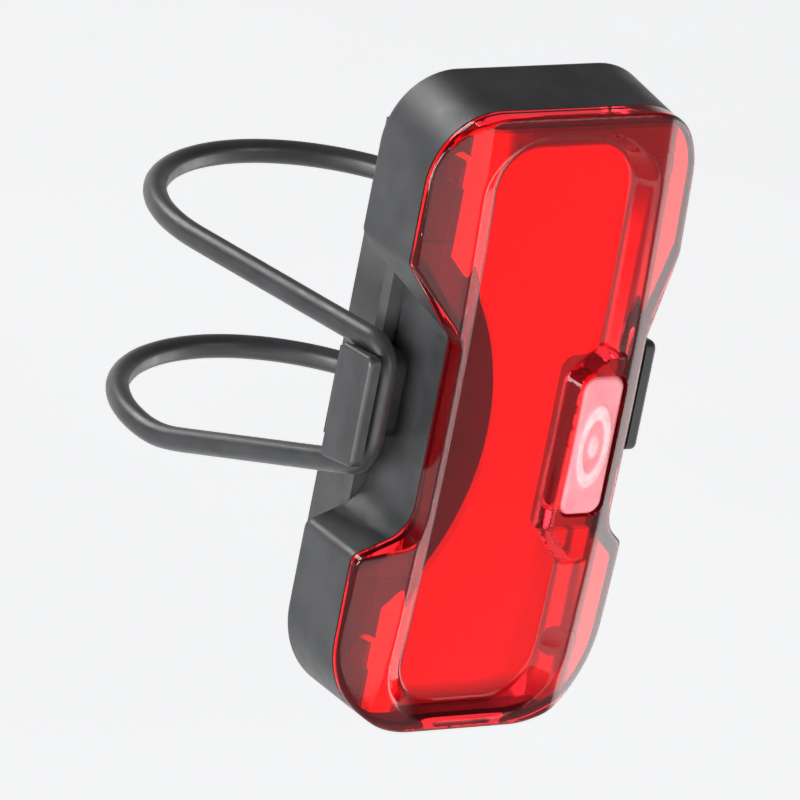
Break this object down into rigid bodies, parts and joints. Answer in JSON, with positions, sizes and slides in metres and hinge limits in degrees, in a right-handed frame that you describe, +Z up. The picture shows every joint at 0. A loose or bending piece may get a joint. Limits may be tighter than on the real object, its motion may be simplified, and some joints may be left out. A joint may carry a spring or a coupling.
{
  "type": "bicycle rear light",
  "caption": "Compact red rear light with a clear red lens, side button and covered charging port, held on a round tube by a rubber ring hooked on both sides.",
  "frame": {"origin": "on the axis of the round tube that the light is strapped to, near mid-height of the light", "axes": "+Z up along the tube, -Y forward out of the lens, +X to the right when looking at the lens"},
  "size_m": [0.031, 0.0472, 0.0538],
  "materials": {
    "housing_plastic": "fine satin texture",
    "lens_red": "clear red, polished",
    "gasket_rubber": "matte",
    "frame_plastic": "matte",
    "guide_plastic": "milky",
    "board_green": "solder mask",
    "strip_white": "white solder mask",
    "emitter_red": "clear resin",
    "chip_black": "moulded",
    "capacitor_ceramic": "ceramic",
    "resistor_black": "glazed",
    "indicator_resin": "clear resin",
    "switch_metal": "plain",
    "plunger_plastic": "plain",
    "button_silicone": "translucent, satin",
    "seal_rubber": "matte",
    "battery_foil": "foil pouch",
    "tape_foam": "foam tape",
    "lead_jacket": "smooth",
    "port_steel": "plain",
    "port_plastic": "plain",
    "cover_rubber": "matte",
    "pad_rubber": "matte",
    "screw_steel": "plain",
    "strap_rubber": "satin"
  },
  "bodies": {
    "light": {"rear_housing": "housing_plastic", "lens": "lens_red", "lens_gasket": "gasket_rubber", "inner_frame": "frame_plastic", "light_guide": "guide_plastic", "circuit_board": "board_green", "led_strip": "strip_white", "led_emitters": "emitter_red", "control_chip": "chip_black", "charging_chip": "chip_black", "capacitors": "capacitor_ceramic", "resistors": "resistor_black", "indicator_led": "indicator_resin", "switch_body": "switch_metal", "button_seal": "seal_rubber", "battery": "battery_foil", "battery_tape": "tape_foam", "battery_leads": "lead_jacket", "usb_shell": "port_steel", "usb_tongue": "port_plastic", "usb_cover_anchor": "cover_rubber", "saddle_pad": "pad_rubber", "housing_screws": "screw_steel", "strap": "strap_rubber"},
    "button": {"button_cap": "button_silicone", "switch_plunger": "plunger_plastic"},
    "port_cover": {"usb_cover": "cover_rubber"},
    "strap_loop_left": {"strap_end_left": "strap_rubber"},
    "strap_loop_right": {"strap_end_right": "strap_rubber"}
  },
  "joints": [
    {"name": "button_press", "type": "slide", "parent": "light", "child": "button", "axis": [0, 1, 0], "range_m": [0, 0.0004], "stiffness_N_per_m": 5000},
    {"name": "port_cover_hinge", "type": "hinge", "parent": "light", "child": "port_cover", "pos_m": [-0.00495, -0.02465, -0.0273], "axis": [0, 1, 0], "range_deg": [0, 110]},
    {"name": "strap_stretch_left", "type": "slide", "parent": "light", "child": "strap_loop_left", "axis": [0, -1, 0], "range_m": [0, 0.0045], "stiffness_N_per_m": 800},
    {"name": "strap_stretch_right", "type": "slide", "parent": "light", "child": "strap_loop_right", "axis": [0, -1, 0], "range_m": [0, 0.0045], "stiffness_N_per_m": 800}
  ]
}
